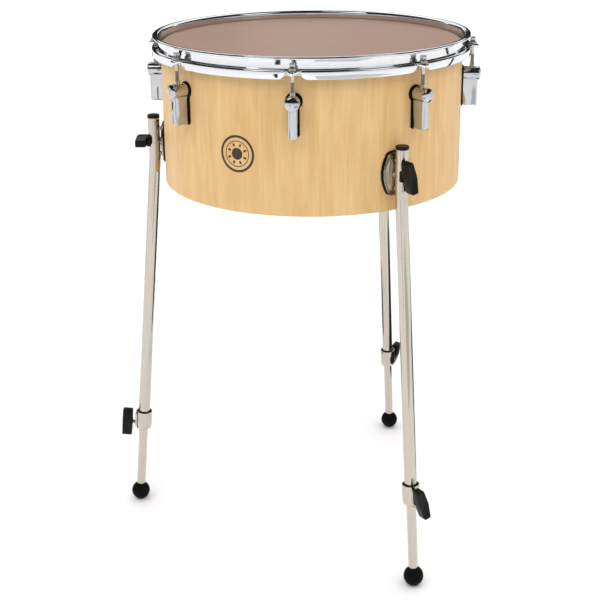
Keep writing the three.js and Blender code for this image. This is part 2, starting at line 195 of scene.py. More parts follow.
WING_HALF_LENGTH = 20.5
WING_END_HALF = 4.6
WING_MID_HALF = 6.9
WING_DEPTH = 14.2
WING_HUB = 5.6
WING_SCREW = 2.9
WING_PITCH = 1.0
BRACKET_WING_FACE = LEG_RADIUS + SADDLE_FACE + 0.4
BRACKET_SCREW = 22
BRACKET_WING_TURN = [90, -13, 35]
COLLAR_SCREW = 9.6
COLLAR_WING_TURN = [0, -14, -16]

COLLAR_HALF = 14
COLLAR_RADIUS = 11.5
COLLAR_FLOOR = 3.5
COLLAR_TUBE_GAP = 0.6
COLLAR_PAD_REACH = 12.5
COLLAR_PAD_HALF = (5.5, 10.8)
COLLAR_WING_FACE = COLLAR_PAD_REACH + 4.5
COLLAR_SCREW_DROP = 5.5
EXTENSION_RADIUS = 6.35
EXTENSION_BORE = 5.2
EXTENSION_TOP = 226
FOOT_RADIUS = 13.5
FOOT_HEIGHT = 12.8
FOOT_RIDGE = 0.18
FOOT_SOCKET = -3.4
LEG_LENGTH = (LEG_BEND - FOOT_HEIGHT) / math.cos(SPLAY)
LEG_LINE = Matrix.Translation((0, -LEG_RADIUS, LEG_BEND)) @ Matrix.Rotation(-SPLAY, 4, "X")

EMBLEM_HEIGHT = 584
EMBLEM_AZIMUTH = -27.6 * DEG
INK_LOW, INK_HIGH = SHELL_RADIUS + TOUCH, SHELL_RADIUS + 0.12


# -------- outlines


def fillet(corners, loop=False, steps=3):
    """The points of an outline of (x, y, radius) corners, each corner turned into an arc."""
    points = []
    for i, (x, y, radius) in enumerate(corners):
        here = Vector((x, y))
        if radius <= 0 or (not loop and i in (0, len(corners) - 1)):
            points.append(here)
            continue
        before = Vector(corners[i - 1][:2]) - here
        after = Vector(corners[(i + 1) % len(corners)][:2]) - here
        half = before.angle(after) / 2
        reach = min(radius / math.tan(half), 0.49 * before.length, 0.49 * after.length)
        bend = reach * math.tan(half)
        before.normalize()
        after.normalize()
        centre = here + (before + after).normalized() * (bend / math.sin(half))
        start = here + before * reach - centre
        end = here + after * reach - centre
        first = math.atan2(start.y, start.x)
        turn = (math.atan2(end.y, end.x) - first + math.pi) % math.tau - math.pi
        for s in range(steps + 1):
            angle = first + turn * s / steps
            points.append(centre + Vector((math.cos(angle), math.sin(angle))) * bend)
    return points


def mirrored(right):
    """The corners of an outline's right half, after their mirror images in X."""
    return [(-x, y, radius) for x, y, radius in reversed(right)] + right


def directions(points):
    """The unit direction of a line of points at each of them."""
    made = []
    for i in range(len(points)):
        ahead = points[min(i + 1, len(points) - 1)]
        behind = points[max(i - 1, 0)]
        made.append((ahead - behind).normalized())
    return made


def sheet_outline(midline, thickness):
    """The closed outline of a bent sheet with rounded edges."""
    half = thickness / 2
    along = directions(midline)
    across = [Vector((-d.y, d.x)) for d in along]
    left = [p + n * half for p, n in zip(midline, across)]
    right = [p - n * half for p, n in zip(midline, across)]

    def rounded_end(p, d, n):
        return [p + (n * math.cos(a) + d * math.sin(a)) * half for a in (45 * DEG, 90 * DEG, 135 * DEG)]

    end = rounded_end(midline[-1], along[-1], across[-1])
    start = rounded_end(midline[0], -along[0], -across[0])
    return left + end + right[::-1] + start


def barrel(half_width, half_height, steps=7):
    """An upright barrel shape: bulging sides, slightly crowned ends and eased corners."""
    corner_x, corner_z = half_width * BRACKET_CORNER[0], half_height * BRACKET_CORNER[1]
    corners = []

    def bow(turn, chord, rise, reach):
        radius = (chord**2 + rise**2) / (2 * rise)
        spread = math.asin(chord / radius)
        for s in range(steps):
            angle = turn - spread + 2 * spread * s / steps
            x = (reach - radius) * math.cos(turn) + radius * math.cos(angle)
            z = (reach - radius) * math.sin(turn) + radius * math.sin(angle)
            corners.append((x, z, 0 if s else 4.0))

    for turn in (0, 180 * DEG):
        bow(turn, corner_z, half_width - corner_x, half_width)
        bow(turn + 90 * DEG, corner_x, half_height - corner_z, half_height)
    return fillet(corners, loop=True)


# -------- closed meshes


def bridge(form, a, b):
    count = max(len(a), len(b))
    for i in range(count):
        j = (i + 1) % count
        if len(a) == 1:
            form.faces.new((a[0], b[j], b[i]))
        elif len(b) == 1:
            form.faces.new((a[i], a[j], b[0]))
        else:
            form.faces.new((a[i], a[j], b[j], b[i]))


def skin(rows, loop=False, cap=False):
    """A mesh through closed rows of points; a row of one point is a tip."""
    form = bmesh.new()
    made = [[form.verts.new(p) for p in row] for row in rows]
    for a, b in zip(made, made[1:]):
        bridge(form, a, b)
    if loop:
        bridge(form, made[-1], made[0])
    if cap:
        form.faces.new(made[0])
        form.faces.new(made[-1])
    bmesh.ops.recalc_face_normals(form, faces=form.faces)
    return form


def turns(steps):
    return [math.tau * s / steps for s in range(steps)]


def circle(radius, height, steps):
    if radius < 1e-4:
        return [Vector((0, 0, height))]
    return [Vector((radius * math.sin(t), -radius * math.cos(t), height)) for t in turns(steps)]


def turned(profile, steps, loop=False):
    """A profile of (radius, height) points turned about Z."""
    return skin([circle(radius, height, steps) for radius, height in profile], loop)


def lathed(corners, steps, loop=False, arc=3):
    """A profile of (radius, height, fillet) corners turned about Z."""
    return turned(fillet(corners, loop, arc), steps, loop)


def peg(radius, low, high, steps):
    """A plain round bar about Z, the tool for a hole."""
    return turned([(0, low), (radius, low), (radius, high), (0, high)], steps)


def flat_ring(inner, outer, low, high):
    """A washer about Z with eased edges."""
    corners = [(inner, low), (outer, low), (outer, high), (inner, high)]
    return lathed([(r, z, 0.3) for r, z in corners], 28, loop=True)


def rotated(form, angle, axis):
    bmesh.ops.rotate(form, verts=form.verts, matrix=Matrix.Rotation(angle, 3, axis))
    return form


def outwards(form):
    """Turns a form's +Z to -Y, so that heights become distances from the drum's axis."""
    return rotated(form, 90 * DEG, "X")


def shifted(form, x=0.0, y=0.0, z=0.0):
    bmesh.ops.translate(form, verts=form.verts, vec=(x, y, z))
    return form


def prism(outline, low, high, edge=0.0, steps=2):
    """An outline in X and Y carried up from one height to another, with rounded rims."""
    middle_point = sum(outline, Vector((0, 0))) / len(outline)
    reach = max((p - middle_point).length for p in outline)
    rows = []

    def row(inset, height):
        share = 1 - inset / reach
        rows.append([(*(middle_point + (p - middle_point) * share), height) for p in outline])

    quarter = [90 * DEG * s / steps for s in range(steps + 1)] if edge else [0]
    for a in quarter:
        row(edge * (1 - math.sin(a)), low + edge * (1 - math.cos(a)))
    for a in reversed(quarter):
        row(edge * (1 - math.sin(a)), high - edge * (1 - math.cos(a)))
    return skin(rows, cap=True)


def rectangle(half_x, half_y, radius, steps=3):
    corners = [(-half_x, -half_y), (half_x, -half_y), (half_x, half_y), (-half_x, half_y)]
    return fillet([(x, y, radius) for x, y in corners], loop=True, steps=steps)


def mesh_of(name, form):
    mesh = bpy.data.meshes.new(name)
    form.to_mesh(mesh)
    return mesh


def object_of(name, data):
    made = bpy.data.objects.new(name, data)
    bpy.context.scene.collection.objects.link(made)
    return made


def combined(form, tool, operation):
    """A new form: form joined with, or cut by, tool."""
    made = [object_of("work", mesh_of("work", part)) for part in (form, tool)]
    step = made[0].modifiers.new("step", "BOOLEAN")
    step.object = made[1]
    step.operation = operation
    step.solver = "EXACT"
    graph = bpy.context.evaluated_depsgraph_get()
    result = bmesh.new()
    result.from_mesh(made[0].evaluated_get(graph).to_mesh())
    for obj in made:
        mesh = obj.data
        bpy.data.objects.remove(obj)
        bpy.data.meshes.remove(mesh)
    return result


def merged(*forms):
    """Forms that stay separate bodies in one mesh."""
    whole = bmesh.new()
    for form in forms:
        mesh = mesh_of("work", form)
        whole.from_mesh(mesh)
        bpy.data.meshes.remove(mesh)
    return whole


def painted(form, index):
    for face in form.faces:
        face.material_index = index
    return form


def piece(name, form, place, body, coats, stands_for=(), sharp=35):
    """Writes a form in metres, puts it in place and lets it ride on a body of the frame."""
    mesh = mesh_of(name, form)
    mesh.transform(place.to_3x3().to_4x4() @ Matrix.Scale(MM, 4))
    for coat in coats:
        mesh.materials.append(coat)
    mesh.shade_smooth()
    mesh.set_sharp_from_angle(angle=sharp * DEG)
    obj = object_of(name, mesh)
    obj.matrix_world = Matrix.Translation(place.to_translation() * MM)
    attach(obj, body)
    if stands_for:
        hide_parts(*stands_for)
    return obj


# -------- materials


class Nodes:
    """A node tree under construction."""

    def __init__(self, owner):
        owner.use_nodes = True
        self.tree = owner.node_tree

    def node(self, kind, inputs=None, **settings):
        made = self.tree.nodes.new(kind)
        for key, value in settings.items():
            setattr(made, key, value)
        for key, value in (inputs or {}).items():
            self.feed(made.inputs[key], value)
        return made

    def feed(self, socket, value):
        if isinstance(value, bpy.types.NodeSocket):
            self.tree.links.new(value, socket)
        else:
            socket.default_value = value

    def math(self, operation, *values):
        return self.node("ShaderNodeMath", dict(enumerate(values)), operation=operation).outputs[0]

    def ramp(self, value, stops):
        made = self.node("ShaderNodeValToRGB", {"Fac": value})
        elements = made.color_ramp.elements
        while len(elements) < len(stops):
            elements.new(0.5)
        for element, (position, color) in zip(elements, stops):
            element.position = position
            element.color = (*color, 1)
        return made.outputs["Color"]

    def mix(self, factor, a, b, blend="MIX"):
        made = self.node("ShaderNodeMix", data_type="RGBA", blend_type=blend)
        self.feed(made.inputs["Factor"], factor)
        self.feed(made.inputs["A"], (*a, 1) if isinstance(a, tuple) else a)
        self.feed(made.inputs["B"], (*b, 1) if isinstance(b, tuple) else b)
        return made.outputs["Result"]


class Coat(Nodes):
    """A material under construction, with its Principled shader."""

    def __init__(self, name, color, metallic, roughness):
        self.material = bpy.data.materials.new(name)
        super().__init__(self.material)
        self.shader = self.tree.nodes["Principled BSDF"]
        self.shader.inputs["Base Color"].default_value = (*color, 1)
        self.shader.inputs["Metallic"].default_value = metallic
        self.shader.inputs["Roughness"].default_value = roughness

    def place(self):
        return self.node("ShaderNodeTexCoord").outputs["Object"]

    def stretched(self, *scale):
        """Object coordinates, multiplied by one number per axis where the axes differ."""
        mapping = self.node("ShaderNodeMapping", {"Vector": self.place(), "Scale": scale or (1, 1, 1)})
        return mapping.outputs["Vector"]

    def noise(self, vector, scale, detail=3.0, roughness=0.5, distortion=0.0):
        inputs = {
            "Vector": vector, "Scale": scale, "Detail": detail,
            "Roughness": roughness, "Distortion": distortion,
        }
        return self.node("ShaderNodeTexNoise", inputs).outputs["Fac"]

    def span(self, value, low, high):
        """A number from 0 to 1 turned into one from low to high."""
        made = self.node("ShaderNodeMapRange", {"Value": value, "To Min": low, "To Max": high})
        made.inputs["From Min"].default_value = 0.3
        made.inputs["From Max"].default_value = 0.7
        return made.outputs["Result"]

    def paint(self, **sockets):
        names = {"color": "Base Color", "roughness": "Roughness", "coat": "Coat Weight",
                 "coat_roughness": "Coat Roughness", "specular": "Specular IOR Level"}
        for key, value in sockets.items():
            self.feed(self.shader.inputs[names[key]], value)

    def bump(self, height, strength, distance):
        made = self.node("ShaderNodeBump", {"Height": height, "Strength": strength, "Distance": distance})
        self.feed(self.shader.inputs["Normal"], made.outputs["Normal"])


def grain_coordinates(coat):
    """Distance round the shell, height, and distance from the axis, in metres."""
    parts = coat.node("ShaderNodeSeparateXYZ", {"Vector": coat.place()})
    x, y, z = parts.outputs
    angle = coat.math("ARCTAN2", x, coat.math("MULTIPLY", y, -1.0))
    around = coat.math("MULTIPLY", angle, SHELL_RADIUS * MM)
    radius = coat.math("SQRT", coat.math("ADD", coat.math("POWER", x, 2.0), coat.math("POWER", y, 2.0)))
    return around, z, radius


def veneer(name, pale, warm, dark, roughness):
    """Rotary-cut veneer with upright grain: soft flames, fine streaks and short flecks."""
    coat = Coat(name, warm, 0, roughness)
    around, height, _ = grain_coordinates(coat)

    def grain(across, along, detail=3.0, distortion=0.0):
        vector = coat.node("ShaderNodeCombineXYZ", {
            "X": coat.math("MULTIPLY", around, across), "Y": coat.math("MULTIPLY", height, along),
        })
        return coat.noise(vector.outputs[0], 1.0, detail, 0.55, distortion)

    flames = grain(70, 9, 3.0, 0.5)
    patches = grain(14, 12, 2.0, 0.4)
    streaks = grain(520, 9, 4.0, 0.2)
    flecks = grain(430, 75, 2.0)
    color = coat.ramp(flames, [(0.33, dark), (0.5, warm), (0.68, pale)])
    tone = coat.ramp(patches, [(0.32, (0.97, 0.955, 0.93)), (0.66, (1.01, 1.01, 1.02))])
    color = coat.mix(1.0, color, tone, "MULTIPLY")
    lines = coat.ramp(streaks, [(0.36, (0.95, 0.92, 0.88)), (0.56, (1, 1, 1))])
    color = coat.mix(0.8, color, lines, "MULTIPLY")
    dashes = coat.ramp(flecks, [(0.66, (1, 1, 1)), (0.74, (0.86, 0.76, 0.64))])
    color = coat.mix(0.55, color, dashes, "MULTIPLY")
    coat.paint(color=color, roughness=coat.span(streaks, roughness - 0.05, roughness + 0.06), specular=0.3)
    coat.bump(streaks, 0.12, 0.0002)
    return coat.material


def ply_edge():
    """The cut edge of the shell: pale and darker plies, seen end-grain."""
    coat = Coat("ply_edge", (0.7, 0.5, 0.27), 0, 0.6)
    around, _, radius = grain_coordinates(coat)
    depth = coat.math("DIVIDE", coat.math("SUBTRACT", SHELL_RADIUS * MM, radius), SHELL_WALL * MM)
    ply = coat.math("FRACT", coat.math("MULTIPLY", depth, PLIES / 2))
    color = coat.ramp(ply, [
        (0.0, (0.72, 0.5, 0.26)), (0.46, (0.72, 0.5, 0.26)), (0.5, (0.3, 0.17, 0.08)),
        (0.54, (0.52, 0.33, 0.16)), (0.95, (0.5, 0.31, 0.15)), (1.0, (0.3, 0.17, 0.08)),
    ])
    ends = coat.node("ShaderNodeCombineXYZ", {
        "X": coat.math("MULTIPLY", around, 700.0), "Y": coat.math("MULTIPLY", radius, 900.0),
    })
    pores = coat.noise(ends.outputs[0], 1.0, 3.0)
    speckle = coat.ramp(pores, [(0.35, (0.84, 0.78, 0.7)), (0.6, (1, 1, 1))])
    coat.paint(color=coat.mix(0.8, color, speckle, "MULTIPLY"), roughness=coat.span(pores, 0.5, 0.68))
    coat.bump(pores, 0.2, 0.0002)
    return coat.material


def film():
    """Matte hide-coloured drumhead film with faint mottling and a softly worn middle."""
    coat = Coat("hide_film", (0.5, 0.345, 0.27), 0, 0.5)
    clouds = coat.noise(coat.stretched(), 16.0, 4.0, 0.6, 0.4)
    fibres = coat.noise(coat.stretched(1, 2.6, 1), 210.0, 3.0, 0.6, 0.5)
    parts = coat.node("ShaderNodeVectorMath", {0: coat.place(), 1: (0.012, 0.03, 0)}, operation="DISTANCE")
    worn = coat.ramp(parts.outputs["Value"], [(0.010, (0.965, 0.95, 0.95)), (0.02, (1, 1, 1))])
    color = coat.ramp(clouds, [(0.3, (0.295, 0.178, 0.126)), (0.7, (0.325, 0.20, 0.142))])
    hairs = coat.ramp(fibres, [(0.35, (0.95, 0.94, 0.93)), (0.6, (1, 1, 1))])
    color = coat.mix(0.7, color, hairs, "MULTIPLY")
    color = coat.mix(1.0, color, worn, "MULTIPLY")
    coat.paint(color=color, roughness=coat.span(clouds, 0.42, 0.52), specular=0.25)
    coat.bump(fibres, 0.1, 0.0001)
    return coat.material


def plated(name, color, roughness, streak=(), ripple=0.02, dulling=0.05):
    """Plated metal: a little waviness under the plate, and faint wiping marks in its gloss."""
    coat = Coat(name, color, 1, roughness)
    wipes = coat.noise(coat.stretched(*streak), 90.0, 4.0, 0.6, 0.3)
    waves = coat.noise(coat.stretched(), 38.0, 2.0)
    pits = coat.noise(coat.stretched(), 900.0, 2.0)
    darker = tuple(c * 0.93 for c in color)
    specks = coat.ramp(pits, [(0.27, (0.75, 0.75, 0.75)), (0.33, (1, 1, 1))])
    tone = coat.mix(coat.span(wipes, 0.0, 1.0), color, darker)
    coat.paint(
        color=coat.mix(0.5, tone, specks, "MULTIPLY"),
        roughness=coat.span(wipes, roughness, roughness + dulling),
    )
    coat.bump(waves, ripple, 0.004)
    return coat.material


def moulded(name, color, roughness, specular, grain_scale, grain_strength):
    """Moulded plastic or rubber: fine surface texture, paler where it is rubbed."""
    coat = Coat(name, color, 0, roughness)
    fine = coat.noise(coat.stretched(), grain_scale, 3.0, 0.6)
    broad = coat.noise(coat.stretched(), 70.0, 3.0)
    rubbed = tuple(c * 1.8 + 0.001 for c in color)
    coat.paint(
        color=coat.mix(coat.span(broad, 0.0, 1.0), color, rubbed),
        roughness=coat.span(broad, roughness - 0.06, roughness + 0.08),
        specular=specular,
    )
    coat.bump(fine, grain_strength, 0.0003)
    return coat.material


def ink():
    """Screen-printed dark brown ink, thin enough for the grain to tint it."""
    coat = Coat("brown_ink", (0.05, 0.022, 0.014), 0, 0.5)
    cover = coat.noise(coat.stretched(1, 1, 0.1), 420.0, 3.0)
    coat.paint(color=coat.ramp(cover, [(0.3, (0.075, 0.036, 0.022)), (0.55, (0.043, 0.019, 0.013))]))
    return coat.material


def studio_floor():
    coat = Coat("studio_floor", (0.9, 0.9, 0.895), 0, 0.6)
    cloud = coat.noise(coat.stretched(), 0.8, 2.0)
    coat.paint(color=coat.ramp(cloud, [(0.3, (0.895, 0.895, 0.89)), (0.7, (0.905, 0.905, 0.9))]))
    return coat.material


MAPLE_OUT = veneer("maple_veneer", (0.84, 0.575, 0.27), (0.80, 0.53, 0.235), (0.75, 0.475, 0.2), 0.42)
MAPLE_IN = veneer("maple_inside", (0.76, 0.54, 0.30), (0.71, 0.48, 0.25), (0.65, 0.42, 0.21), 0.6)
PLY_EDGE = ply_edge()
FILM = film()
CHROME = plated("bright_chrome", (0.82, 0.835, 0.855), 0.04)
LUG_CHROME = plated("lug_chrome", (0.56, 0.57, 0.585), 0.06, ripple=0.04)
NICKEL = plated("warm_nickel", (0.61, 0.555, 0.48), 0.09, streak=(3, 3, 0.12), ripple=0.01)
# The leg mounts' nickel is darker and browner than the legs': its colour holds a painted reflection of the
# wooden shell.
REFLECTION_TINTED_NICKEL = plated("reflection_tinted_nickel", (0.46, 0.385, 0.30), 0.12, ripple=0.03)
STEEL = plated("plated_steel", (0.60, 0.585, 0.57), 0.16, ripple=0.02)
ALUMINIUM = plated("rolled_aluminium", (0.68, 0.68, 0.69), 0.28, dulling=0.12)
PLASTIC = moulded("black_plastic", (0.007, 0.0065, 0.006), 0.36, 0.12, 1500.0, 0.15)
RUBBER = moulded("black_rubber", (0.004, 0.0038, 0.0035), 0.55, 0.05, 800.0, 0.3)
INK = ink()


# -------- shell and head


def shell_form():
    """Outer face, inner face and cut edges, each with its own material."""
    inner = SHELL_RADIUS - SHELL_WALL
    low, edge = SHELL_LOW.z, SHELL_HIGH.z
    form = lathed([
        (SHELL_RADIUS, low, SHELL_EASE),
        (SHELL_RADIUS, edge - SHELL_SHOULDER, 3.0),
        (SHELL_EDGE_RADIUS + SHELL_EASE, edge - 1.1, SHELL_EASE),
        (SHELL_EDGE_RADIUS, edge, 0.5),
        (inner, edge - (SHELL_EDGE_RADIUS - inner), 0.6),
        (inner, low, SHELL_EASE),
    ], 256, loop=True, arc=4)
    outer_coat, inner_coat, edge_coat = range(3)
    for face in form.faces:
        out = face.calc_center_median()
        if abs(face.normal.z) > 0.35:
            face.material_index = edge_coat
        elif math.hypot(out.x, out.y) > SHELL_RADIUS - SHELL_WALL / 2:
            face.material_index = outer_coat
        else:
            face.material_index = inner_coat
    return form


def film_form():
    """The film lies on the bearing edge and turns down outside it, towards the flesh hoop."""
    top, rim_low = HEAD_HIGH.z, HEAD_LOW.z
    rim = (HEAD_HIGH.x - HEAD_LOW.x) / 2
    upper = fillet([
        (0, top, 0), (SHELL_EDGE_RADIUS - 6, top, 2), (SHELL_EDGE_RADIUS - 3.2, top - FILM_DIP, 1),
        (SHELL_EDGE_RADIUS + 0.5, top, 2.2), (rim, rim_low + 1.2, 1.5), (rim, rim_low, 0),
    ], steps=5)
    outline = [Vector((radius, top)) for radius in (0, 40, 90, 140, 175)] + upper[1:]

    def other_face(p):
        on_top = p.x < SHELL_EDGE_RADIUS + 0.4
        return p - Vector((0, FILM_THICKNESS) if on_top else (FILM_THICKNESS, 0))

    lower = [other_face(p) for p in outline]
    lower[-1] = Vector((rim - FILM_THICKNESS, rim_low))
    return turned(outline + lower[::-1], 256)


def flesh_hoop_form():
    """A rolled aluminium channel: a closed back with a groove that holds the film."""
    outer = (RING_HIGH.x - RING_LOW.x) / 2
    low, high = RING_LOW.z, RING_HIGH.z
    groove = (RING_BORE + outer) / 2
    left, right = groove - RING_GROOVE_HALF, groove + RING_GROOVE_HALF
    floor = high - RING_GROOVE_DEPTH
    return lathed([
        (RING_BORE, low, 0.8), (outer, low, 1.4), (outer, high, 1.2), (right, high, 0.3),
        (right, floor, 0.3), (left, floor, 0.3), (left, high, 0.3), (RING_BORE, high, 0.5),
    ], 192, loop=True)


# -------- counter hoop


def bump_at(distance, half_width):
    """A smooth rise from 0 at half_width to 1 in the middle."""
    if abs(distance) >= half_width:
        return 0.0
    return math.cos(distance / half_width * 90 * DEG) ** 2


def skirt_stations():
    """(distance from the rod, height of the skirt's edge) over half of the space between two rods."""
    low = HOOP_LOW.z + HOOP_SHEET / 2
    half_sector = math.pi / ROD_COUNT * HOOP_SKIRT
    ear_steps, corner_steps, plain_steps = 16, 9, 15
    made = []
    for s in range(ear_steps):
        distance = GAP_HALF_WIDTH * s / ear_steps
        made.append((distance, low + GAP_CORNER - EAR_DROP * bump_at(distance, GAP_HALF_WIDTH)))
    for s in range(corner_steps + 1):
        angle = 90 * DEG * s / corner_steps
        distance = GAP_HALF_WIDTH + GAP_SLANT * (1 - math.cos(angle))
        made.append((distance, low + GAP_CORNER * (1 - math.sin(angle))))
    start = made[-1][0]
    for s in range(1, plain_steps + 1):
        made.append((start + (half_sector - start) * s / (plain_steps + 0.5), low))
    return made


def hoop_section(distance, skirt_low):
    """The sheet's section: rolled top flange, upright band, flat step or ear, hanging skirt."""
    outer = HOOP_SKIRT - HOOP_SHEET / 2 + EAR_REACH * bump_at(distance, EAR_HALF_WIDTH)
    top = HOOP_HIGH.z - HOOP_SHEET / 2
    midline = fillet([
        (HOOP_FLANGE, top - HOOP_LIP, 0),
        (HOOP_FLANGE, top, 1.7),
        (HOOP_WALL, top, 3.2),
        (HOOP_WALL, HOOP_STEP, 1.1),
        (outer, HOOP_STEP, 1.9),
        (outer, min(skirt_low, HOOP_STEP - LEAST_SKIRT), 0),
    ], steps=4)
    return sheet_outline(midline, HOOP_SHEET)


def counter_hoop_form():
    half = skirt_stations()
    sector = [(-d, z) for d, z in reversed(half[1:])] + half
    rows = []
    for azimuth in ROD_AZIMUTHS:
        for distance, skirt_low in sector:
            turn = azimuth + distance / HOOP_SKIRT
            out = Vector((math.sin(turn), -math.cos(turn)))
            section = hoop_section(distance, skirt_low)
            rows.append([(out.x * p.x, out.y * p.x, p.y) for p in section])
    hoop = skin(rows, loop=True)
    holes = merged(*[
        shifted(
            peg(EAR_HOLE, BELOW_HOOP, ABOVE_HOOP, 20),
            ROD_CIRCLE * math.sin(a), -ROD_CIRCLE * math.cos(a),
        )
        for a in ROD_AZIMUTHS
    ])
    return combined(hoop, holes, "DIFFERENCE")


# -------- tuning hardware


def threaded(radius, low, high, pitch):
    """Profile points of a threaded shank, from its chamfered end upwards."""
    points = [(0, low), (radius * 0.6, low), (radius * 0.8, low + 0.4)]
    for s in range(int((high - low - 0.8) / pitch)):
        height = low + 0.8 + s * pitch
        points += [(radius * 0.87, height), (radius, height + pitch * 0.4), (radius, height + pitch * 0.55)]
    return points


def tension_rod_form():
    """Threaded shank, plain neck, round collar, boss and a chamfered square head."""
    neck = HOOP_STEP - ROD_NECK
    seat = WASHER_TOP
    plain = ROD_RADIUS * 0.97
    shank = threaded(ROD_RADIUS, ROD_LOW, neck, THREAD_PITCH)
    head = fillet([
        (plain, neck + 0.5, 0), (plain, seat, 0.2), (ROD_COLLAR, seat, 0.3), (ROD_COLLAR, seat + 1.5, 0.5),
        (3.8, seat + 1.7, 0.4), (3.6, seat + BOSS_HEIGHT, 0.7), (0, seat + BOSS_HEIGHT, 0),
    ])
    body = turned(shank + [tuple(p) for p in head], 20)
    key = prism(rectangle(KEY_WIDTH / 2, KEY_WIDTH / 2, 0.5), seat + KEY_ROOT, ROD_TOP, 0.7)
    return combined(body, key, "UNION")


def washer_form():
    return flat_ring(ROD_RADIUS + 0.3, WASHER_RADIUS, HOOP_STEP + HOOP_SHEET / 2, WASHER_TOP - TOUCH)


def nut_form():
    """A round nut body with a sleeve that rises round the rod."""
    bore = ROD_RADIUS + 0.25
    return lathed([
        (bore, NUT_LOW, 0.2), (NUT_BODY, NUT_LOW, 0.6), (NUT_BODY, NUT_BODY_TOP, 0.4),
        (SLEEVE, NUT_BODY_TOP, 0.3), (SLEEVE, NUT_TOP, 0.5), (bore, NUT_TOP, 0.2),
    ], 28, loop=True)


def barrel_form():
    """A round barrel on a level axis, with a softly domed face."""
    dome = (BARREL_RADIUS**2 + DOME_HEIGHT**2) / (2 * DOME_HEIGHT)
    face = BARREL_RADIUS - BARREL_EASE

    def dome_point(radius):
        return Vector((radius, LUG_FRONT - dome + math.sqrt(dome**2 - radius**2)))

    profile = fillet([
        (0, LUG_BACK, 0), (BARREL_RADIUS, LUG_BACK, 0.4),
        (BARREL_RADIUS, LUG_FRONT - DOME_HEIGHT, BARREL_EASE), (*dome_point(face), 0),
    ], steps=5)
    profile += [dome_point(face * (1 - s / 7)) for s in range(1, 8)]
    return shifted(outwards(turned(profile, 48)), z=LUG_AXIS)


def lug_form():
    """The barrel on a chamfered post, notched on top where the sleeve comes out."""
    section = mirrored([
        (POST_HALF - POST_CHAMFER, -POST_FRONT, 0.5), (POST_HALF, -POST_FRONT + POST_CHAMFER, 0.5),
        (POST_HALF, -LUG_BACK, 0.3),
    ])
    post = prism(fillet(section, loop=True, steps=2), POST_LOW, LUG_AXIS, POST_END_EASE, 3)
    lug = combined(barrel_form(), post, "UNION")
    hollows = (
        prism(rectangle(BARREL_RADIUS + 1, SEAT_HALF, 0.0), SEAT_HEIGHT, LUG_AXIS + 12),
        peg(SLEEVE + NUT_GAP, NUT_BODY_TOP - 1, BELOW_HOOP, 28),
        peg(NUT_BODY + NUT_GAP, NUT_LOW - NUT_GAP, NUT_BODY_TOP + NUT_GAP, 28),
        peg(ROD_ROOM, POST_LOW + 3, NUT_LOW + 1, 20),
    )
    for tool in hollows:
        lug = combined(lug, shifted(tool, y=-ROD_CIRCLE), "DIFFERENCE")
    return lug


def pad_rows(outline, front, round_off):
    """Rows of an outline in X and Z between the shell's curve and a flat front with a rounded rim."""
    centre = sum(outline, Vector((0, 0))) / len(outline)
    reach = max((p - centre).length for p in outline)
    rows = [[(p.x, -math.sqrt((SHELL_RADIUS + PAD_LIFT) ** 2 - p.x**2), p.y) for p in outline]]
    for angle in (0, 30 * DEG, 60 * DEG, 90 * DEG):
        share = 1 - round_off * (1 - math.cos(angle)) / reach
        distance = front - round_off * (1 - math.sin(angle))
        shrunk = [centre + (p - centre) * share for p in outline]
        rows.append([(p.x, -distance, p.y) for p in shrunk])
    return rows


def lug_gasket_form():
    """A keyhole pad: a round end behind the barrel and a straight leg behind the post."""
    radius = BARREL_RADIUS + GASKET_BORDER
    half = POST_HALF + GASKET_SIDE
    low = POST_LOW - GASKET_DROP
    neck = LUG_AXIS - GASKET_NECK
    open_angle = math.asin(half / radius)
    steps = 40
    outline = []
    for s in range(steps + 1):
        angle = -90 * DEG + open_angle + (math.tau - 2 * open_angle) * s / steps
        outline.append(Vector((radius * math.cos(angle), LUG_AXIS + radius * math.sin(angle))))
    outline += fillet(mirrored([(half, low, 3), (half, neck, 0)]), steps=4)
    return skin(pad_rows(outline, LUG_BACK, 0.5), cap=True)


def pan_screw_form(height):
    """A pan head with a cross recess on a washer, inside the shell."""
    inner = SHELL_RADIUS - SHELL_WALL
    under_head = inner - 1.0
    head = outwards(lathed([
        (0, inner - 3.6, 0), (2.2, inner - 3.5, 1.2), (4.1, inner - 2.4, 1.4), (4.3, under_head, 0.2),
        (0, under_head, 0),
    ], 24))
    for angle in (20 * DEG, 110 * DEG):
        arm = prism(rectangle(2.3, 0.45, 0.1), inner - 5, inner - 2.3)
        head = combined(head, outwards(rotated(arm, angle, "Z")), "DIFFERENCE")
    washer = outwards(flat_ring(2.2, 6.0, inner - 1.15, inner - TOUCH))
    return shifted(merged(head, washer), z=height)


# -------- leg brackets


def bracket_gasket_form():
    outline = barrel(BRACKET_HALF_WIDTH, BRACKET_HALF_HEIGHT)
    return skin(pad_rows(outline, PLATE_BACK, 0.6), cap=True)


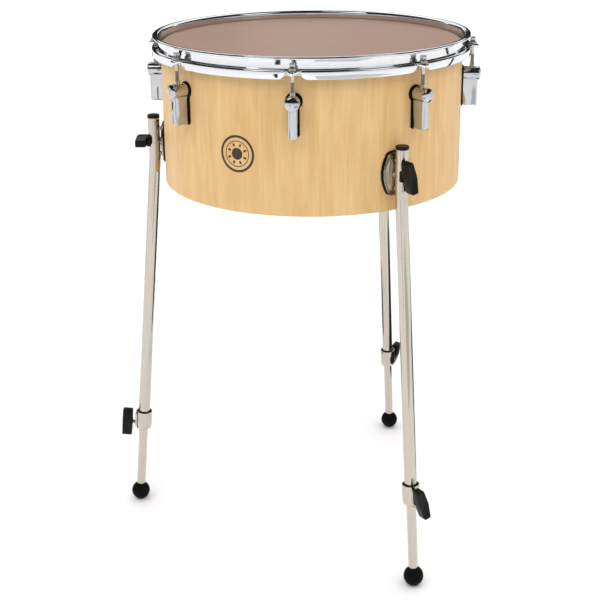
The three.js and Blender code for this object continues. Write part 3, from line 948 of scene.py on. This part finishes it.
def bracket_form():
    """A plate with a raised rim and a shallow dome, a tapped boss and two locating pins."""
    levels = [
        (0.0, 0.05), (0.0, 1.1), (0.25, 1.5), (1.5, 1.75), (2.0, 1.6), (2.4, 1.55), (4.0, 2.3), (7.0, 3.1),
        (11.0, 3.7), (15.0, 3.95),
    ]
    half_width, half_height = BRACKET_HALF_WIDTH - BRACKET_BORDER, BRACKET_HALF_HEIGHT - BRACKET_BORDER
    rows = []
    for inset, height in levels:
        outline = barrel(half_width - inset, half_height - 1.15 * inset)
        rows.append([(p.x, -PLATE_BACK - height, p.y) for p in outline])
    plate = shifted(skin(rows, cap=True), z=BRACKET_HEIGHT)
    root = PLATE_BACK + 1
    tube_face = LEG_RADIUS - TUBE_RADIUS
    boss = outwards(lathed([
        (0, root, 0), (6.4, root, 0), (6.4, PLATE_BACK + 4.6, 0.5),
        (4.7, PLATE_BACK + 4.9, 0.3), (4.7, tube_face - 0.2, 0.4), (0, tube_face - 0.2, 0),
    ], 28))
    form = combined(plate, shifted(boss, z=BRACKET_HEIGHT), "UNION")
    for side in (-1, 1):
        pin = outwards(lathed([
            (0, root, 0), (3.9, root, 0), (3.9, PLATE_BACK + 3.6, 0.5),
            (2.7, PLATE_BACK + 3.8, 0.2), (2.7, tube_face + 2.4, 0.9), (0, tube_face + 2.4, 0),
        ], 24))
        form = combined(form, shifted(pin, z=BRACKET_HEIGHT + side * PIN_SPACING), "UNION")
    return form


def saddle_form():
    """A moulded washer, flat outside and hollowed to sit on the tube."""
    half = SADDLE_HALF_WIDTH
    hollow_radius = TUBE_RADIUS + SADDLE_GAP
    wrap = math.asin(half * 0.93 / hollow_radius)
    steps = 14
    hollow = []
    for s in range(steps + 1):
        angle = wrap - 2 * wrap * s / steps
        hollow.append((hollow_radius * math.sin(angle), -hollow_radius * math.cos(angle), 0))
    corners = mirrored([(half, -SADDLE_FACE, 1.3), (half, SADDLE_DEPTH - SADDLE_FACE, 0.5)])
    outline = fillet(corners + hollow, loop=True)
    pad = prism(outline, -SADDLE_HALF_HEIGHT, SADDLE_HALF_HEIGHT, 0.6, 3)
    return shifted(pad, y=-LEG_RADIUS, z=BRACKET_HEIGHT)


# -------- legs


def bent_path(top, length, step=24):
    """Points (distance out, height) down the leg: upright, a short bend, then straight and splayed."""
    end = Vector((LEG_RADIUS + length * math.sin(SPLAY), LEG_BEND - length * math.cos(SPLAY)))
    path = fillet([(LEG_RADIUS, top, 0), (LEG_RADIUS, LEG_BEND, BEND_RADIUS), (end.x, end.y, 0)], steps=6)
    cuts = max(2, int(length / step))
    last = path[-2]
    return path[:-1] + [last + (end - last) * s / cuts for s in range(1, cuts + 1)]


def rings_along(path, radius, steps=40):
    rows = []
    for point, along in zip(path, directions(path)):
        rows.append([
            Vector((
                radius * math.sin(t),
                -point.x + radius * math.cos(t) * along.y,
                point.y + radius * math.cos(t) * along.x,
            ))
            for t in turns(steps)
        ])
    return rows


def tube_form(collar_along):
    """An open tube with a bend, a hole for the bracket's screw and a slit at its lower end."""
    end = collar_along + COLLAR_HALF - COLLAR_FLOOR - COLLAR_TUBE_GAP
    path = bent_path(LEG_TOP, end)
    tube = skin(rings_along(path, TUBE_RADIUS) + rings_along(path, TUBE_BORE)[::-1], loop=True)
    slit = prism(rectangle(SLIT_HALF_WIDTH, 3.5, 0.0), -end - 2, SLIT_LENGTH - end)
    bmesh.ops.transform(shifted(slit, y=-8.5), verts=slit.verts, matrix=LEG_LINE)
    hole = outwards(peg(BRACKET_HOLE, LEG_RADIUS - 12, LEG_RADIUS + 12, 24))
    tube = combined(tube, slit, "DIFFERENCE")
    return combined(tube, shifted(hole, z=BRACKET_HEIGHT), "DIFFERENCE")


def cap_form():
    """A push-in cap with a softly dished top."""
    seat = LEG_TOP + 0.1
    top = box("leg_cap_1")[1].z
    return shifted(lathed([
        (0, seat - CAP_PLUG, 0), (6.3, seat - CAP_PLUG, 0.8), (6.5, seat, 0.1),
        (CAP_RADIUS, seat, 0.4), (CAP_RADIUS, top - 0.1, 1.2), (CAP_RADIUS - 1.7, top, 0.4),
        (CAP_RADIUS - 2.6, top - 0.4, 0.8), (0, top - 0.5, 0),
    ], 40, arc=4), y=-LEG_RADIUS)


def collar_form():
    """A cup round the end of the tube, rounded below and thin at its mouth, with a screw pad."""
    room = TUBE_RADIUS + 0.15
    bore = EXTENSION_RADIUS + 0.2
    top = COLLAR_HALF
    floor = COLLAR_FLOOR - COLLAR_HALF
    cup = lathed([
        (bore, -top, 0.4), (COLLAR_RADIUS - 1.0, -top, 2.6), (COLLAR_RADIUS, -top + 6, 3.0),
        (COLLAR_RADIUS, top, 0.5), (COLLAR_RADIUS - 1.4, top, 0.5), (COLLAR_RADIUS - 1.6, top - 5, 1.2),
        (room, top - 6.5, 0.5), (room, floor, 0.3), (bore, floor, 0.3),
    ], 48, loop=True, arc=4)
    pad = prism(rectangle(*COLLAR_PAD_HALF, 2.0), -COLLAR_PAD_REACH, -TUBE_RADIUS - 1.2, 0.8)
    form = combined(cup, rotated(pad, -90 * DEG, "X"), "UNION")
    hole = outwards(peg(WING_SCREW + 0.3, 5, 16, 24))
    return combined(form, shifted(hole, z=-COLLAR_SCREW_DROP), "DIFFERENCE")


def extension_form(collar_along):
    low = -LEG_LENGTH - 3.0
    high = EXTENSION_TOP - collar_along
    return lathed([
        (EXTENSION_BORE, low, 0.3), (EXTENSION_RADIUS, low, 0.3),
        (EXTENSION_RADIUS, high, 0.4), (EXTENSION_BORE, high, 0.3),
    ], 40, loop=True, arc=2)


def foot_form(line):
    """A rubber ball with faint moulding ridges and a socket for the leg, flat where it stands."""
    profile = [(0, -FOOT_RADIUS)]
    steps = 46
    last = 150 * DEG
    for s in range(1, steps + 1):
        angle = last * s / steps
        ridged = 50 * DEG < angle < 140 * DEG
        ridge = FOOT_RIDGE * max(0.0, math.sin(angle * 22)) ** 2 if ridged else 0.0
        radius = FOOT_RADIUS - FOOT_RIDGE + ridge
        profile.append((radius * math.sin(angle), -radius * math.cos(angle)))
    socket = EXTENSION_RADIUS + 0.1
    profile += [(socket, profile[-1][1] + 0.1), (socket, FOOT_SOCKET), (0, FOOT_SOCKET)]
    form = shifted(turned(profile, 44), z=-LEG_LENGTH)
    back = line.inverted()
    for vertex in form.verts:
        place = line @ vertex.co
        place.z = max(place.z, 0.0)
        vertex.co = back @ place
    return form


def wing_form(screw_length):
    """A six-sided wing with a shallow hollow on its outer end, moulded on to a threaded screw."""
    half, end, mid = WING_HALF_LENGTH, WING_END_HALF, WING_MID_HALF
    corners = [(-end, -half), (end, -half), (mid, 0), (end, half), (-end, half), (-mid, 0)]
    outline = fillet([(x, y, 1.6 if y else 3.0) for x, y in corners], loop=True)
    levels = [
        (1.0, 0.0), (0.3, 0.2), (0.0, 0.9), (0.0, WING_DEPTH - 1.2), (0.3, WING_DEPTH - 0.35),
        (1.0, WING_DEPTH), (1.8, WING_DEPTH - 0.05), (2.6, WING_DEPTH - 0.6),
    ]
    rows = [
        [(p.x * (1 - inset / mid), -depth, p.y * (1 - inset / half)) for p in outline]
        for inset, depth in levels
    ]
    grip_coat, screw_coat = range(2)
    grip = painted(skin(rows, cap=True), grip_coat)
    hub_profile = [(0, 1, 0), (WING_HUB, 1, 0), (WING_HUB, -0.35, 0.3), (0, -0.35, 0)]
    hub = painted(outwards(lathed(hub_profile, 28)), grip_coat)
    root = [(WING_SCREW * 0.9, 0.4), (WING_SCREW * 0.9, 1.5), (0, 1.5)]
    screw = turned(threaded(WING_SCREW, -screw_length, 0, WING_PITCH) + root, 20)
    return merged(combined(grip, hub, "UNION"), painted(outwards(screw), screw_coat))


# -------- printed emblem


def on_shell(around, height, radius):
    """A point so far round the shell and so high, at a radius from the drum's axis."""
    turn = around / SHELL_RADIUS
    return Vector((radius * math.sin(turn), -radius * math.cos(turn), height))


def printed(outline):
    """An outline in (distance round the shell, height) laid on the shell as thin ink."""
    return skin([[on_shell(p.x, p.y, radius) for p in outline] for radius in (INK_LOW, INK_HIGH)], cap=True)


def printed_ring(inner, outer):
    """A ring round the emblem's middle, laid on the shell as thin ink."""
    section = ((inner, INK_LOW), (outer, INK_LOW), (outer, INK_HIGH), (inner, INK_HIGH))
    return skin([
        [on_shell(r * math.sin(t), EMBLEM_HEIGHT + r * math.cos(t), lift) for t in turns(96)]
        for r, lift in section
    ], loop=True)


def emblem_form():
    """A plain plan of a drum: two rings, a middle disc and a short tick for each tuning rod."""
    centre = Vector((0, EMBLEM_HEIGHT))
    disc_radius = 7.5
    disc = [centre + Vector((math.sin(t), math.cos(t))) * disc_radius for t in turns(48)]
    forms = [printed_ring(20.5, 23.5), printed_ring(15.6, 16.6), printed(disc)]
    tick_corners = ((9.8, -1.3), (9.8, 1.3), (13.6, 1.3), (13.6, -1.3))
    for k in range(ROD_COUNT):
        turn = math.tau * (k + 0.5) / ROD_COUNT
        out = Vector((math.sin(turn), math.cos(turn)))
        side = Vector((out.y, -out.x))
        forms.append(printed([centre + out * r + side * s for r, s in tick_corners]))
    return merged(*forms)


# -------- assembly

CENTRE = Matrix.Translation((AXIS.x, AXIS.y, 0))

piece("drum_shell", shell_form(), CENTRE, "drum", [MAPLE_OUT, MAPLE_IN, PLY_EDGE], ["shell"])
piece("drumhead_film", film_form(), CENTRE, "drum", [FILM], ["head_membrane"])
piece("flesh_ring", flesh_hoop_form(), CENTRE, "tuning_hoop", [ALUMINIUM], ["flesh_hoop"])
rolled_hoop = counter_hoop_form()
piece("rolled_hoop", rolled_hoop, CENTRE, "tuning_hoop", [CHROME], ["counter_hoop"], sharp=50)
piece("printed_emblem", emblem_form(), station(EMBLEM_AZIMUTH), "drum", [INK])

rod, washer, nut, lug = tension_rod_form(), washer_form(), nut_form(), lug_form()
gasket = lug_gasket_form()
screws = merged(pan_screw_form(LUG_AXIS), pan_screw_form(POST_LOW + LUG_SCREW_RISE))
for k, azimuth in enumerate(ROD_AZIMUTHS, 1):
    place = station(azimuth)
    on_rod = place @ Matrix.Translation((0, -ROD_CIRCLE, 0))
    piece(f"key_rod_{k}", rod, on_rod, f"tension_rod_{k}", [STEEL], [f"tension_rod_{k}"])
    piece(f"rod_washer_{k}", washer, on_rod, "tuning_hoop", [STEEL])
    piece(f"sleeve_nut_{k}", nut, on_rod, "drum", [STEEL], [f"swivel_nut_{k}"])
    piece(f"lug_{k}", lug, place, "drum", [LUG_CHROME], [f"lug_casing_{k}"])
    piece(f"lug_gasket_{k}", gasket, place, "drum", [RUBBER])
    piece(f"lug_screws_{k}", screws, place, "drum", [STEEL])

mount, saddle, cap, collar = bracket_form(), saddle_form(), cap_form(), collar_form()
mount_gasket = shifted(bracket_gasket_form(), z=BRACKET_HEIGHT)
mount_screws = merged(*(pan_screw_form(BRACKET_HEIGHT + side * PIN_SPACING) for side in (-1, 1)))
upper_wing, lower_wing = wing_form(BRACKET_SCREW), wing_form(COLLAR_SCREW)
for k, azimuth in enumerate(LEG_AZIMUTHS, 1):
    place = station(azimuth)
    line = place @ LEG_LINE
    clamp_along = -(line.inverted() @ (Vector(joint(f"collar_wing_{k}_turn")["pos_m"]) / MM)).z
    collar_along = clamp_along - COLLAR_SCREW_DROP
    collar_place = line @ Matrix.Translation((0, 0, -collar_along))
    piece(f"mount_gasket_{k}", mount_gasket, place, "drum", [RUBBER], [f"bracket_gasket_{k}"])
    # the mount's colour holds a painted reflection of the shell
    piece(f"leg_mount_{k}", mount, place, "drum", [REFLECTION_TINTED_NICKEL], [f"leg_bracket_{k}"])
    piece(f"mount_screws_{k}", mount_screws, place, "drum", [STEEL])
    piece(f"upper_leg_{k}", tube_form(collar_along), place, "drum", [NICKEL], [f"leg_tube_{k}"])
    piece(f"leg_end_cap_{k}", cap, place, "drum", [PLASTIC], [f"leg_cap_{k}"])
    piece(f"seat_washer_{k}", saddle, place, "drum", [PLASTIC], [f"saddle_washer_{k}"])
    piece(f"clamp_collar_{k}", collar, collar_place, "drum", [NICKEL], [f"leg_collar_{k}"])
    body = f"leg_extension_{k}"
    lower_leg = extension_form(collar_along)
    piece(f"lower_leg_{k}", lower_leg, line, body, [NICKEL], [f"leg_extension_{k}"])
    piece(f"ball_foot_{k}", foot_form(line), line, body, [RUBBER], [f"rubber_foot_{k}"])
    wings = (
        ("upper", upper_wing, place, BRACKET_WING_FACE, BRACKET_HEIGHT, BRACKET_WING_TURN, "bracket"),
        ("lower", lower_wing, line, COLLAR_WING_FACE, -clamp_along, COLLAR_WING_TURN, "collar"),
    )
    for level, form, start, out, height, wing_turns, clamp in wings:
        wing_place = start @ Matrix.Translation((0, -out, height))
        wing_place @= Matrix.Rotation(wing_turns[k - 1] * DEG, 4, "Y")
        body = f"{clamp}_wing_{k}"
        piece(f"{level}_wing_{k}", form, wing_place, body, [PLASTIC, STEEL], [body])


# -------- studio


def add_floor():
    form = skin([circle(14000, 0, 96), circle(14000, -5, 96)], cap=True)
    mesh = mesh_of("studio_floor", form)
    mesh.transform(Matrix.Scale(MM, 4))
    mesh.materials.append(studio_floor())
    floor = object_of("studio_floor", mesh)


def add_softbox(name, place, width, height, energy):
    """A rectangular lamp aimed at the middle of the drum."""
    aim = Vector((0, 0, 0.5))
    light = bpy.data.lights.new(name, "AREA")
    light.shape = "RECTANGLE"
    light.size = width
    light.size_y = height
    light.energy = energy
    lamp = object_of(name, light)
    lamp.location = place
    lamp.rotation_euler = (aim - Vector(place)).to_track_quat("-Z", "Y").to_euler()
    lamp.visible_camera = False


def add_card(place, turn, corners, shade=0.02):
    """A dark card that only shows in reflections."""
    coat = Coat("card", (shade, shade, shade), 0, 0.9)
    coat.paint(specular=0.0)
    mesh = bpy.data.meshes.new("card")
    mesh.from_pydata(corners, [], [(0, 1, 2, 3)])
    mesh.materials.append(coat.material)
    card = object_of("card", mesh)
    card.matrix_world = Matrix.Translation(place) @ Matrix.Rotation(turn, 4, "Z")
    card.visible_camera = False
    card.visible_diffuse = False
    card.visible_shadow = False


def add_flag(x, y, width, low, high):
    """An upright card that faces the drum."""
    half = width / 2
    corners = [(-half, 0, low), (half, 0, low), (half, 0, high), (-half, 0, high)]
    add_card((x, y, 0), math.atan2(x, -y), corners)


def add_level_card(left, right, front, back, height=0.004, shade=0.02):
    """A level card: on the floor it darkens a part of the legs, overhead the top of the hoop."""
    corners = [(left, front, 0), (right, front, 0), (right, back, 0), (left, back, 0)]
    add_card((0, 0, height), 0, corners, shade)


def add_sky():
    """A pale room, bright overhead; the wall in front of the drum is dark so that the chrome has an edge."""
    world = bpy.data.worlds.new("studio")
    bpy.context.scene.world = world
    sky = Nodes(world)
    place = sky.node("ShaderNodeTexCoord").outputs["Generated"]
    _, to_back, upwards = sky.node("ShaderNodeSeparateXYZ", {0: place}).outputs

    def levels(stops):
        return sky.ramp(upwards, [(position, (level, level, level * 1.01)) for position, level in stops])

    front = levels([(0.0, 0.9), (0.03, 0.8), (0.08, 0.08), (0.42, 0.08), (0.6, 1.45), (1.0, 1.6)])
    back = levels([(0.0, 1.0), (0.5, 1.0), (0.65, 1.5), (1.0, 1.6)])
    side = sky.node("ShaderNodeMapRange", {"Value": to_back, "From Min": -0.1, "From Max": 0.3})
    blend = sky.mix(side.outputs["Result"], front, back)
    sky.feed(sky.tree.nodes["Background"].inputs["Color"], blend)


def add_camera():
    """In front of the drum and above it, looking down, with a small turn and roll."""
    azimuth, distance, above_hoop = -0.46 * DEG, 1592.5, 236
    down, turn, roll = 18.19 * DEG, -0.629 * DEG, -0.47 * DEG
    data = bpy.data.cameras.new("camera")
    data.sensor_width = 36
    data.lens = 70.98
    data.shift_y = -0.11
    data.clip_start = 0.05
    data.clip_end = 60
    camera = object_of("camera", data)
    ahead = Vector((math.sin(turn), math.cos(turn), 0))
    right = Vector((math.cos(turn), -math.sin(turn), 0))
    up = Vector((0, 0, 1))
    look = ahead * math.cos(down) - up * math.sin(down)
    crown = ahead * math.sin(down) + up * math.cos(down)
    side = right * math.cos(roll) + crown * math.sin(roll)
    crown = crown * math.cos(roll) - right * math.sin(roll)
    aim = Matrix((side, crown, -look)).transposed().to_4x4()
    place = Vector((0, -distance, HOOP_HIGH.z + above_hoop)) * MM
    centre = Matrix.Translation(Vector((AXIS.x, AXIS.y, 0)) * MM)
    camera.matrix_world = centre @ Matrix.Rotation(azimuth, 4, "Z") @ Matrix.Translation(place) @ aim
    bpy.context.scene.camera = camera


# (x, y, width, low edge, high edge) of the upright cards, in metres
FLAGS = (
    (-0.56, -1.4, 0.1, 0.0, 0.5),
    (0.5, 1.6, 0.8, 0.0, 1.0),
    (-0.28, 1.0, 0.35, 0.0, 1.0),
    (1.6, 0.6, 0.1, 0.0, 0.6),
    (-1.4, 0.4, 0.1, 0.0, 0.6),
    (0.0, -2.2, 5.0, 0.95, 5.2),
    (2.4, 0.0, 4.4, 0.95, 5.2),
    (-2.4, 0.0, 4.4, 0.95, 5.2),
    (0.0, 3.0, 7.0, 0.3, 0.95),
    (1.5, 3.0, 2.0, 0.3, 1.6),
    (-1.5, 3.0, 2.0, 0.3, 1.6),
)

add_floor()
add_sky()
add_softbox("key", (-1.3, -2.0, 2.6), 1.6, 1.6, 14)
add_softbox("fill", (1.9, -1.6, 2.2), 1.4, 1.8, 8)
for flag in FLAGS:
    add_flag(*flag)
add_level_card(-2.5, 2.5, -2.2, 1.2, height=3.2)
add_level_card(0.3, 1.2, 0.0, 1.2)
add_level_card(-0.45, -0.15, 0.2, 0.5)
add_level_card(0.1, 1.6, -2.6, -1.0, shade=0.5)
add_camera()
bpy.context.scene.view_settings.view_transform = "Standard"
